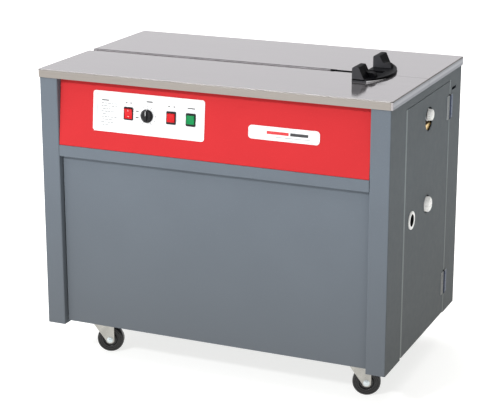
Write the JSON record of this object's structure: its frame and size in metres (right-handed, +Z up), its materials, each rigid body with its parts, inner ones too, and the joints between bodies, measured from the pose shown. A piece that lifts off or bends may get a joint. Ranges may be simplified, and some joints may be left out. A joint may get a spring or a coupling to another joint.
{
  "type": "semi automatic strapping machine",
  "caption": "Table-height steel cabinet on swivel casters with a two-lid stainless top, strap channel and guide, red control panel, side door, sealing head and strap reel inside.",
  "frame": {"origin": "on the floor, under the middle of the table", "axes": "+X to the operator's right along the table, +Y towards the back, +Z up"},
  "size_m": [0.906, 0.56, 0.776],
  "materials": {
    "painted_grey": "satin powder coat, blue-grey",
    "painted_red": "satin powder coat, bright red",
    "stainless": "brushed along the table",
    "black_plastic": "moulded, fine texture",
    "zinc_plate": "bright zinc plate",
    "yellow_zinc": "yellow zinc plate",
    "white_plastic": "moulded nylon",
    "machined_steel": "ground and oiled",
    "cast_aluminium": "cast, bead blasted",
    "cast_iron": "machined",
    "wheel_rubber": "satin",
    "strap_plastic": "wound polypropylene strap",
    "label_white": "printed film",
    "red_lens": "translucent",
    "green_lens": "translucent",
    "frame_black": "black paint"
  },
  "bodies": {
    "cabinet": {"base_pan": "painted_grey", "left_side_panel": "painted_grey", "right_side_panel": "painted_grey", "rear_panel": "painted_grey", "rear_panel_screws": "zinc_plate", "front_sill_bar": "painted_grey", "door_catches": "black_plastic", "control_panel": "painted_red", "label_plate": "label_white", "name_plate": "label_white", "switch_housings": "black_plastic", "top_frame": "frame_black", "strap_channel": "zinc_plate", "strap_guide": "black_plastic", "frame_hinge_leaves": "zinc_plate", "caster_plates": "zinc_plate", "reel_stand": "frame_black", "strap_pool_box": "zinc_plate", "tension_bracket": "yellow_zinc", "head_block": "machined_steel", "gearbox": "cast_aluminium", "motor": "cast_aluminium", "drive_belt": "wheel_rubber", "feed_frame": "zinc_plate", "feed_motor": "frame_black", "control_box": "zinc_plate", "power_inlet": "black_plastic"},
    "front_door": {"front_door": "painted_grey"},
    "side_door": {"side_door": "painted_grey", "door_hinge_leaves": "zinc_plate", "finger_pull_ring": "white_plastic"},
    "front_lid": {"table_front_plate": "stainless"},
    "rear_lid": {"table_rear_plate": "stainless"},
    "rocker_switch": {"rocker_switch": "red_lens"},
    "red_button": {"red_button": "red_lens"},
    "green_button": {"green_button": "green_lens"},
    "dial_knob": {"dial_knob": "black_plastic"},
    "fork_front_left": {"caster_fork_front_left": "zinc_plate"},
    "wheel_front_left": {"caster_wheel_front_left": "wheel_rubber"},
    "fork_front_right": {"caster_fork_front_right": "zinc_plate"},
    "wheel_front_right": {"caster_wheel_front_right": "wheel_rubber"},
    "fork_rear_left": {"caster_fork_rear_left": "zinc_plate"},
    "wheel_rear_left": {"caster_wheel_rear_left": "wheel_rubber"},
    "fork_rear_right": {"caster_fork_rear_right": "zinc_plate"},
    "wheel_rear_right": {"caster_wheel_rear_right": "wheel_rubber"},
    "reel": {"strap_reel": "black_plastic", "strap_coil": "strap_plastic"},
    "brake_arm": {"brake_arm": "zinc_plate"},
    "slack_knob": {"slack_knob": "white_plastic"},
    "tension_knob": {"tension_knob": "white_plastic"},
    "left_gripper": {"left_gripper": "machined_steel"},
    "press_head": {"press_head": "machined_steel"},
    "right_gripper": {"right_gripper": "machined_steel"},
    "slide_table": {"slide_table": "machined_steel"},
    "heater_slide": {"heater_slide": "machined_steel"},
    "camshaft": {"camshaft": "machined_steel"},
    "motor_pulley": {"motor_pulley": "cast_aluminium"},
    "gearbox_pulley": {"gearbox_pulley": "cast_iron"},
    "feed_roller": {"feed_roller": "wheel_rubber"},
    "idle_roller": {"idle_roller": "machined_steel"}
  },
  "joints": [
    {"name": "front_door_tilt", "type": "hinge", "parent": "cabinet", "child": "front_door", "pos_m": [0, -0.2605, 0.108], "axis": [1, 0, 0], "range_deg": [0, 70]},
    {"name": "side_door_swing", "type": "hinge", "parent": "cabinet", "child": "side_door", "pos_m": [0.446, 0.179, 0.4], "axis": [0, 0, 1], "range_deg": [0, 115]},
    {"name": "front_lid_lift", "type": "hinge", "parent": "cabinet", "child": "front_lid", "pos_m": [0, -0.269, 0.7115], "axis": [1, 0, 0], "range_deg": [0, 80]},
    {"name": "rear_lid_lift", "type": "hinge", "parent": "cabinet", "child": "rear_lid", "pos_m": [0, 0.269, 0.7115], "axis": [-1, 0, 0], "range_deg": [0, 80]},
    {"name": "main_switch_rock", "type": "hinge", "parent": "cabinet", "child": "rocker_switch", "pos_m": [-0.21, -0.26756, 0.65113], "axis": [-1, 0, 0], "range_deg": [0, 18]},
    {"name": "red_button_press", "type": "slide", "parent": "cabinet", "child": "red_button", "axis": [0, 0.9952, -0.0977], "range_m": [0, 0.003], "stiffness_N_per_m": 400},
    {"name": "green_button_press", "type": "slide", "parent": "cabinet", "child": "green_button", "axis": [0, 0.9952, -0.0977], "range_m": [0, 0.003], "stiffness_N_per_m": 400},
    {"name": "dial_turn", "type": "hinge", "parent": "cabinet", "child": "dial_knob", "pos_m": [-0.161, -0.26692, 0.64955], "axis": [0, -0.9952, 0.0977], "range_deg": [-150, 150]},
    {"name": "caster_swivel_front_left", "type": "hinge", "parent": "cabinet", "child": "fork_front_left", "pos_m": [-0.345, -0.19, 0.0805], "axis": [0, 0, 1], "continuous": true},
    {"name": "caster_roll_front_left", "type": "hinge", "parent": "fork_front_left", "child": "wheel_front_left", "pos_m": [-0.32027, -0.18197, 0.034], "axis": [-0.309, 0.9511, 0], "continuous": true},
    {"name": "caster_swivel_front_right", "type": "hinge", "parent": "cabinet", "child": "fork_front_right", "pos_m": [0.345, -0.19, 0.0805], "axis": [0, 0, 1], "continuous": true},
    {"name": "caster_roll_front_right", "type": "hinge", "parent": "fork_front_right", "child": "wheel_front_right", "pos_m": [0.36973, -0.18197, 0.034], "axis": [-0.309, 0.9511, 0], "continuous": true},
    {"name": "caster_swivel_rear_left", "type": "hinge", "parent": "cabinet", "child": "fork_rear_left", "pos_m": [-0.345, 0.19, 0.0805], "axis": [0, 0, 1], "continuous": true},
    {"name": "caster_roll_rear_left", "type": "hinge", "parent": "fork_rear_left", "child": "wheel_rear_left", "pos_m": [-0.371, 0.19, 0.034], "axis": [0, -1, 0], "continuous": true},
    {"name": "caster_swivel_rear_right", "type": "hinge", "parent": "cabinet", "child": "fork_rear_right", "pos_m": [0.345, 0.19, 0.0805], "axis": [0, 0, 1], "continuous": true},
    {"name": "caster_roll_rear_right", "type": "hinge", "parent": "fork_rear_right", "child": "wheel_rear_right", "pos_m": [0.319, 0.19, 0.034], "axis": [0, -1, 0], "continuous": true},
    {"name": "reel_spin", "type": "hinge", "parent": "cabinet", "child": "reel", "pos_m": [-0.24, -0.03, 0.31], "axis": [1, 0, 0], "continuous": true},
    {"name": "brake_arm_swing", "type": "hinge", "parent": "cabinet", "child": "brake_arm", "pos_m": [-0.24, 0.165, 0.238], "axis": [1, 0, 0], "range_deg": [0, 25]},
    {"name": "slack_knob_turn", "type": "hinge", "parent": "cabinet", "child": "slack_knob", "pos_m": [0.44, 0.012, 0.429], "axis": [1, 0, 0], "continuous": true},
    {"name": "tension_knob_turn", "type": "hinge", "parent": "cabinet", "child": "tension_knob", "pos_m": [0.44, 0.01, 0.65], "axis": [1, 0, 0], "continuous": true},
    {"name": "left_gripper_lift", "type": "slide", "parent": "cabinet", "child": "left_gripper", "axis": [0, 0, 1], "range_m": [0, 0.008]},
    {"name": "press_lift", "type": "slide", "parent": "cabinet", "child": "press_head", "axis": [0, 0, 1], "range_m": [0, 0.008]},
    {"name": "right_gripper_lift", "type": "slide", "parent": "cabinet", "child": "right_gripper", "axis": [0, 0, 1], "range_m": [0, 0.008]},
    {"name": "slide_table_shift", "type": "slide", "parent": "cabinet", "child": "slide_table", "axis": [0, 1, 0], "range_m": [0, 0.03]},
    {"name": "heater_shift", "type": "slide", "parent": "cabinet", "child": "heater_slide", "axis": [0, -1, 0], "range_m": [-0.022, 0]},
    {"name": "motor_spin", "type": "hinge", "parent": "cabinet", "child": "motor_pulley", "pos_m": [0.057, 0.14, 0.582], "axis": [1, 0, 0], "continuous": true},
    {"name": "gearbox_input_spin", "type": "hinge", "parent": "cabinet", "child": "gearbox_pulley", "pos_m": [0.057, -0.014, 0.582], "axis": [1, 0, 0], "continuous": true},
    {"name": "camshaft_spin", "type": "hinge", "parent": "cabinet", "child": "camshaft", "pos_m": [0.24, -0.014, 0.582], "axis": [1, 0, 0], "continuous": true},
    {"name": "feed_roller_spin", "type": "hinge", "parent": "cabinet", "child": "feed_roller", "pos_m": [0.375, -0.014, 0.582], "axis": [0, 1, 0], "continuous": true},
    {"name": "idle_roller_spin", "type": "hinge", "parent": "cabinet", "child": "idle_roller", "pos_m": [0.375, -0.014, 0.6196], "axis": [0, 1, 0], "continuous": true}
  ],
  "couplings": [
    {"joint": "gearbox_input_spin", "follows": "motor_spin", "ratio": 0.5},
    {"joint": "camshaft_spin", "follows": "motor_spin", "ratio": 0.016667},
    {"joint": "idle_roller_spin", "follows": "feed_roller_spin", "ratio": -1.4667}
  ]
}
